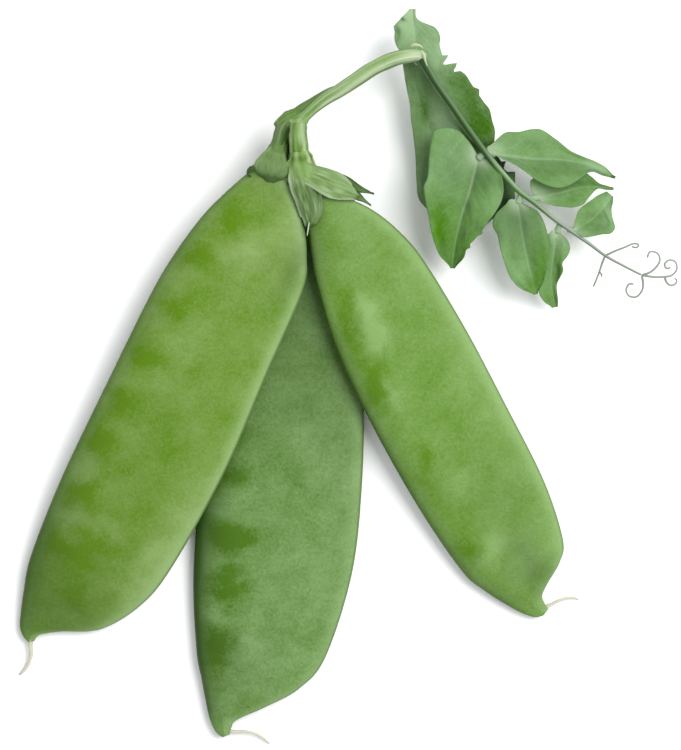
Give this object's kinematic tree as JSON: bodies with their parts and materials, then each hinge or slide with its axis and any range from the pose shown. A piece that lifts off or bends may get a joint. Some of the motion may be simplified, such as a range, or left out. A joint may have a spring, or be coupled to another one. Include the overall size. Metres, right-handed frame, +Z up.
{
  "type": "snow pea sprig",
  "caption": "Sprig of flat snow pea pods on a forked stalk, with calyxes, dried styles, stipules and a leaf that ends in curled tendrils, lying on a surface.",
  "frame": {"origin": "on the surface that the sprig lies on, under the middle of its whole outline", "axes": "+Z up from the surface, +Y from the pods' tips towards the stalk, +X towards the leaf"},
  "size_m": [0.1187, 0.1317, 0.0143],
  "materials": {
    "pod_skin": "waxy satin green with olive seed patches",
    "stem_skin": "satin pale green, ribbed",
    "calyx_skin": "matte grey green, finely wrinkled",
    "leaf_skin": "matte green with pale veins",
    "dried_style": "dry, pale straw"
  },
  "bodies": {
    "root": {"stalk": "stem_skin", "pod_left": "pod_skin", "pod_middle": "pod_skin", "pod_right": "pod_skin", "calyx_left": "calyx_skin", "calyx_middle": "calyx_skin", "calyx_right": "calyx_skin", "style_left": "dried_style", "style_middle": "dried_style", "style_right": "dried_style", "stipule_upper": "leaf_skin", "stipule_lower": "leaf_skin", "compound_leaf": "leaf_skin"}
  },
  "joints": []
}
